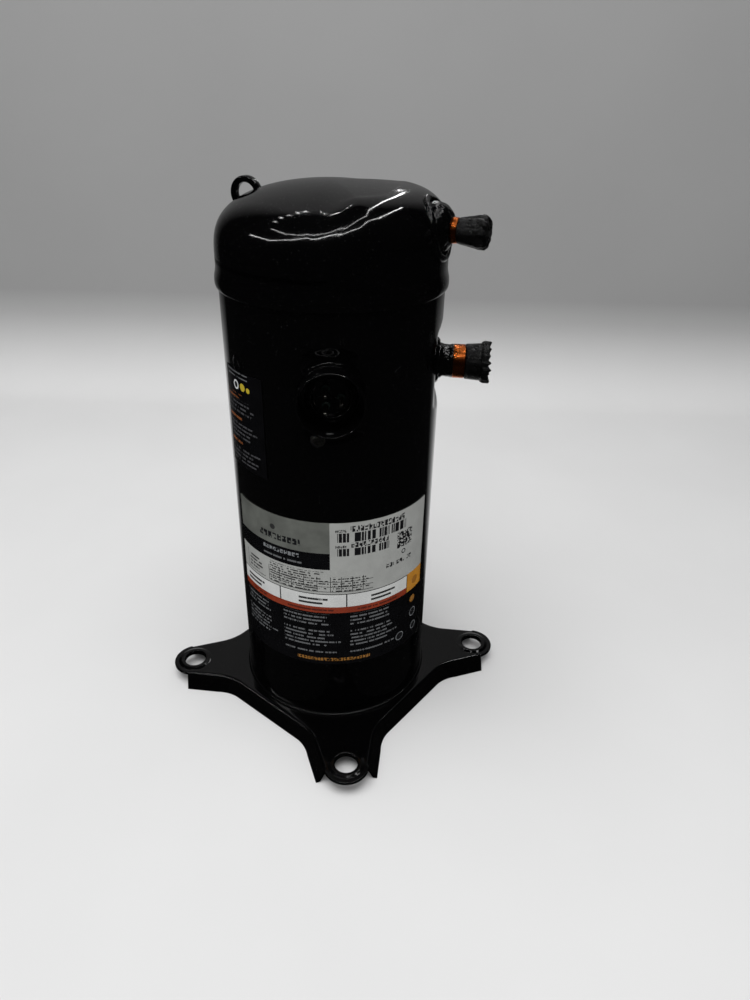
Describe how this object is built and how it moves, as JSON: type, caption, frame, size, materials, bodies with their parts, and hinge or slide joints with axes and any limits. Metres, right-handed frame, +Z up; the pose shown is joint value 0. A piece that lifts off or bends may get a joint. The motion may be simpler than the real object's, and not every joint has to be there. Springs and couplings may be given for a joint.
{
  "type": "scroll compressor",
  "caption": "Upright hermetic scroll compressor: welded shell on a four-hole base, plugged suction and discharge stubs, fenced terminal, complete drive and scroll set inside.",
  "frame": {"origin": "on the shaft axis, at the level of the base's lower edge", "axes": "+Z up along the shaft; X and Y along the sides of the square of mounting holes; the discharge leaves at 18 degrees and the suction at 34 degrees from +X towards +Y, and the electrical terminal faces -49 degrees"},
  "size_m": [0.2356, 0.2356, 0.4378],
  "materials": {
    "enamel": "deep black gloss enamel with slight orange peel",
    "rubber": "matt black wrinkled rubber",
    "copper_tube": null,
    "machined_steel": "machined steel",
    "pin_plating": "plated terminal pin",
    "iron": "machined grey iron",
    "lamination": "stacked electrical steel sheets",
    "cast_aluminium": "cast aluminium",
    "bearing_bronze": "bronze",
    "winding": "enamelled copper wire",
    "seal_polymer": "filled seal polymer",
    "moulding": "moulded black plastic",
    "magnet": "dark ferrite",
    "label": null
  },
  "bodies": {
    "casing": {"shell": "enamel", "top_cap": "enamel", "bottom_cap": "enamel", "mounting_base": "enamel", "suction_fitting": "enamel", "discharge_fitting": "enamel", "terminal_body": "enamel", "terminal_fence": "enamel", "lifting_ring": "enamel", "suction_stub": "copper_tube", "discharge_stub": "copper_tube", "muffler_plate": "machined_steel", "ground_screw": "machined_steel", "guide_bolt_1": "machined_steel", "guide_bolt_2": "machined_steel", "guide_bolt_3": "machined_steel", "guide_bolt_4": "machined_steel", "check_valve_retainer": "machined_steel", "suction_baffle": "machined_steel", "thrust_washer": "machined_steel", "terminal_pin_1": "pin_plating", "terminal_pin_2": "pin_plating", "terminal_pin_3": "pin_plating", "main_bearing_housing": "iron", "lower_bearing_bracket": "iron", "stator_core": "lamination", "main_bearing_bush": "bearing_bronze", "lower_bearing_bush": "bearing_bronze", "pressure_relief_valve": "bearing_bronze", "temperature_disc": "bearing_bronze", "stator_winding": "winding", "lead_harness": "moulding", "motor_protector": "moulding", "sump_magnet": "magnet", "nameplate_label": "label", "side_label": "label"},
    "crank": {"crankshaft": "machined_steel", "rotor_core": "lamination", "rotor_cage": "cast_aluminium", "upper_counterweight": "iron", "lower_counterweight": "iron", "drive_bushing": "machined_steel", "oil_pickup": "machined_steel"},
    "orbiter": {"orbiting_scroll": "iron", "drive_bearing": "bearing_bronze"},
    "oldham_carrier": {"oldham_ring": "cast_aluminium"},
    "oldham_keys": {"oldham_key_1": "cast_aluminium", "oldham_key_2": "cast_aluminium", "oldham_key_3": "cast_aluminium", "oldham_key_4": "cast_aluminium"},
    "fixed_scroll": {"non_orbiting_scroll": "iron"},
    "face_seal": {"floating_seal_base": "iron", "floating_seal_top": "iron", "seal_lip_inner": "seal_polymer", "seal_lip_outer": "seal_polymer"},
    "check_valve": {"check_valve_disc": "machined_steel"},
    "suction_cover": {"suction_plug": "rubber"},
    "discharge_cover": {"discharge_plug": "rubber"}
  },
  "joints": [
    {"name": "crank_spin", "type": "hinge", "parent": "casing", "child": "crank", "pos_m": [0, 0, 0.17], "axis": [0, 0, 1], "continuous": true},
    {"name": "scroll_hold", "type": "hinge", "parent": "crank", "child": "orbiter", "pos_m": [0.0042, 0, 0.306], "axis": [0, 0, 1], "continuous": true},
    {"name": "oldham_swing", "type": "hinge", "parent": "crank", "child": "oldham_carrier", "pos_m": [0.0021, 0, 0.3097], "axis": [0, 0, 1], "continuous": true},
    {"name": "oldham_hold", "type": "hinge", "parent": "oldham_carrier", "child": "oldham_keys", "pos_m": [0.0042, 0, 0.3097], "axis": [0, 0, 1], "continuous": true},
    {"name": "scroll_lift", "type": "slide", "parent": "casing", "child": "fixed_scroll", "axis": [0, 0, 1], "range_m": [0, 0.0008]},
    {"name": "seal_lift", "type": "slide", "parent": "fixed_scroll", "child": "face_seal", "axis": [0, 0, 1], "range_m": [0, 0.0006]},
    {"name": "valve_lift", "type": "slide", "parent": "casing", "child": "check_valve", "axis": [0, 0, 1], "range_m": [0, 0.0035]},
    {"name": "suction_plug_pull", "type": "slide", "parent": "casing", "child": "suction_cover", "axis": [0.8271, 0.5621, 0], "range_m": [0, 0.045]},
    {"name": "discharge_plug_pull", "type": "slide", "parent": "casing", "child": "discharge_cover", "axis": [0.9511, 0.309, 0], "range_m": [0, 0.045]}
  ],
  "couplings": [
    {"joint": "scroll_hold", "follows": "crank_spin", "ratio": -1},
    {"joint": "oldham_swing", "follows": "crank_spin", "ratio": -2},
    {"joint": "oldham_hold", "follows": "crank_spin", "ratio": 1}
  ]
}
